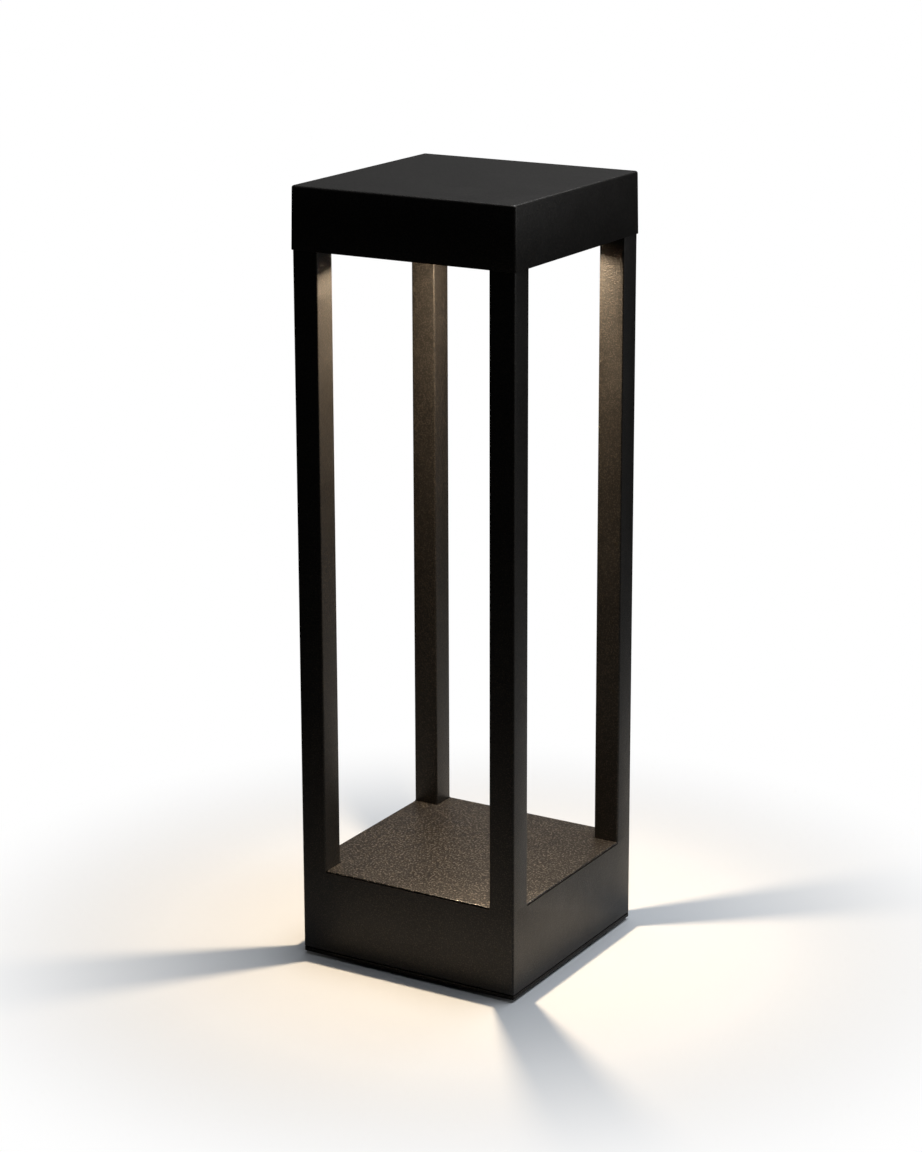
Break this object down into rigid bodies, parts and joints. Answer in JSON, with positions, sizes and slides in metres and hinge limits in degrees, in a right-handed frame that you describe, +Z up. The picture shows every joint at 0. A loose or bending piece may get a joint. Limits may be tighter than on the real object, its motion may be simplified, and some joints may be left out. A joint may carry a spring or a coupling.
{
  "type": "bollard light",
  "caption": "Square garden bollard light: downlight head with a lift-off cap on corner posts over a low base that bolts to the ground.",
  "frame": {"origin": "centre of the base's footprint, at ground level", "axes": "+Z up along the posts; +X and +Y square to the two pairs of equal faces; -Y is the wide face at the front"},
  "size_m": [0.1574, 0.1574, 0.5],
  "materials": {
    "charcoal_powder_coat": "matte",
    "black_rubber": "matte",
    "stainless_steel": "satin",
    "blackened_steel": "satin",
    "galvanised_steel": "satin",
    "bare_aluminium": "satin",
    "bright_reflector": "polished",
    "tempered_glass": "gloss",
    "white_solder_mask": "satin",
    "warm_led_phosphor": "matte",
    "grey_thermal_silicone": "matte",
    "white_plastic": "satin",
    "ivory_nylon": "satin",
    "black_cable_sheath": "matte",
    "red_insulation": "satin",
    "black_insulation": "satin",
    "brown_insulation": "satin",
    "blue_insulation": "satin",
    "green_yellow_insulation": "satin"
  },
  "bodies": {
    "ground_plate_body": {"foot_pad": "black_rubber", "ground_plate": "charcoal_powder_coat", "locating_lugs": "charcoal_powder_coat", "base_seal": "black_rubber", "cable_grommet": "black_rubber"},
    "lantern": {"base_housing": "charcoal_powder_coat", "deck_plate": "charcoal_powder_coat", "deck_nuts": "stainless_steel", "gear_tray": "galvanised_steel", "led_driver": "white_plastic", "driver_screws": "stainless_steel", "terminal_block": "ivory_nylon", "terminal_screws": "stainless_steel", "earth_screw": "stainless_steel", "earth_ring": "stainless_steel", "body_set_screws": "blackened_steel", "post_front_left": "charcoal_powder_coat", "post_front_right": "charcoal_powder_coat", "post_back_left": "charcoal_powder_coat", "post_back_right": "charcoal_powder_coat", "post_foot_screws": "stainless_steel", "head_tray": "charcoal_powder_coat", "tray_screws": "stainless_steel", "cap_seal": "black_rubber", "cap_screws": "stainless_steel", "captive_washers": "stainless_steel", "glass_seal": "black_rubber", "lens_glass": "tempered_glass", "clamp_ring": "bare_aluminium", "clamp_ring_screws": "stainless_steel", "reflector": "bright_reflector", "led_emitter": "warm_led_phosphor", "led_board": "white_solder_mask", "thermal_pad": "grey_thermal_silicone", "heat_sink": "bare_aluminium", "heat_sink_pillars": "stainless_steel", "heat_sink_screws": "stainless_steel", "led_cable": "black_cable_sheath", "tray_grommet": "black_rubber", "led_connector": "white_plastic", "led_lead_plus": "red_insulation", "led_lead_minus": "black_insulation", "lead_live": "brown_insulation", "lead_neutral": "blue_insulation", "lead_earth": "green_yellow_insulation"},
    "cap": {"head_cap": "charcoal_powder_coat"}
  },
  "joints": [
    {"name": "lantern_lift", "type": "slide", "parent": "ground_plate_body", "child": "lantern", "axis": [0, 0, 1], "range_m": [0, 0.08]},
    {"name": "head_cap_lift", "type": "slide", "parent": "lantern", "child": "cap", "axis": [0, 0, 1], "range_m": [0, 0.06]}
  ]
}
